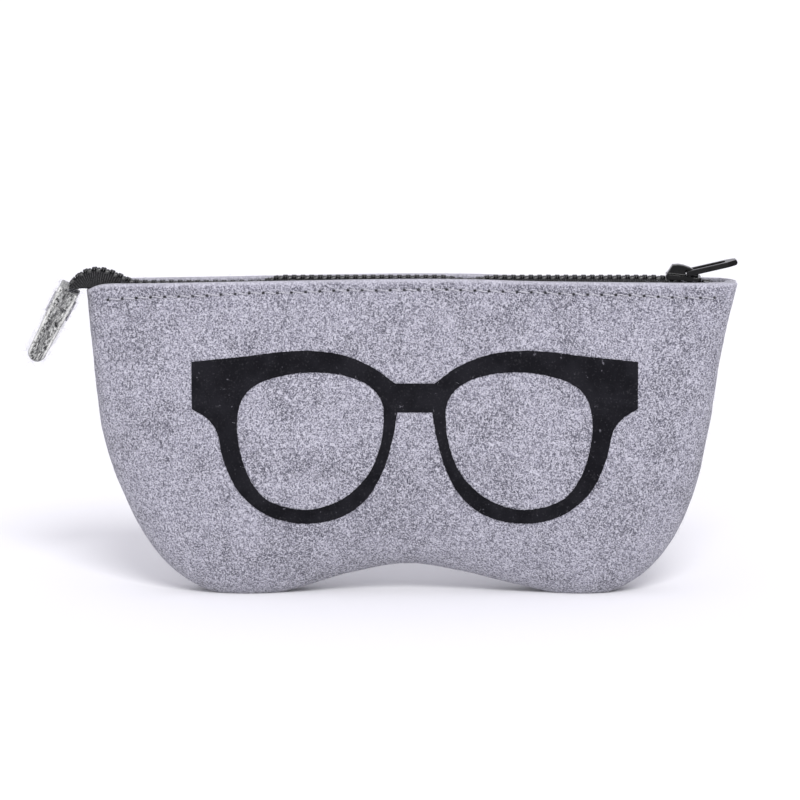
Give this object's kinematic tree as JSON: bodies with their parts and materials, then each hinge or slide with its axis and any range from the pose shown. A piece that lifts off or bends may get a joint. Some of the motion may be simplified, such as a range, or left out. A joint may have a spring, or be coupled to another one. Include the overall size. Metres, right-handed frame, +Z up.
{
  "type": "eyeglasses case",
  "caption": "Soft grey felt eyeglasses case with a black moulded zip along its mouth, a printed spectacles motif, a felt end tab and an arched base on two lobes.",
  "frame": {"origin": "under the middle of the box round the whole case, on the surface that it stands on", "axes": "+X along the zip from the end tab to the closed slider, +Y from the printed front to the back, +Z up"},
  "size_m": [0.2017, 0.0334, 0.0955],
  "materials": {
    "grey_felt": "matte",
    "black_print": "matte",
    "zip_tape": "matte",
    "zip_teeth": "gloss",
    "slider_metal": "satin",
    "grey_thread": "satin"
  },
  "bodies": {
    "back": {"back_panel": "grey_felt", "back_tape": "zip_tape", "back_teeth": "zip_teeth", "back_top_stitch": "grey_thread", "back_top_stop": "zip_teeth", "seam_needle_thread": "grey_thread"},
    "front": {"front_panel": "grey_felt", "glasses_print": "black_print", "front_tape": "zip_tape", "front_teeth": "zip_teeth", "front_top_stitch": "grey_thread", "front_top_stop": "zip_teeth", "seam_bobbin_thread": "grey_thread"},
    "slider": {"slider_body": "slider_metal", "slider_cap": "slider_metal"},
    "pull": {"pull_tab": "slider_metal"},
    "tail": {"tail_front_tape": "zip_tape", "tail_back_tape": "zip_tape", "tail_front_teeth": "zip_teeth", "tail_back_teeth": "zip_teeth", "bottom_stop": "zip_teeth", "end_tab": "grey_felt", "end_tab_stitch": "grey_thread"}
  },
  "joints": [
    {"name": "slider_travel", "type": "slide", "parent": "back", "child": "slider", "axis": [-1, 0, -0.0073], "range_m": [0, 0.139], "deforming": ["front_teeth", "back_teeth", "front_tape", "back_tape"]},
    {"name": "mouth_open", "type": "hinge", "parent": "back", "child": "front", "pos_m": [0.0087, -0.008, 0], "axis": [1, 0, 0], "range_deg": [0, 8], "deforming": ["front_teeth", "back_teeth", "front_tape", "back_tape"]},
    {"name": "pull_flip", "type": "hinge", "parent": "slider", "child": "pull", "pos_m": [0.08736, 0, 0.09175], "axis": [0, -1, 0], "range_deg": [-10, 150]},
    {"name": "tail_bend", "type": "hinge", "parent": "back", "child": "tail", "pos_m": [-0.0755, 0, 0.0902], "axis": [0, 1, 0], "range_deg": [0, 60], "deforming": ["front_teeth", "back_teeth", "front_tape", "back_tape"]}
  ],
  "couplings": [
    {"joint": "mouth_open", "follows": "slider_travel", "rad_per_m": 1}
  ]
}
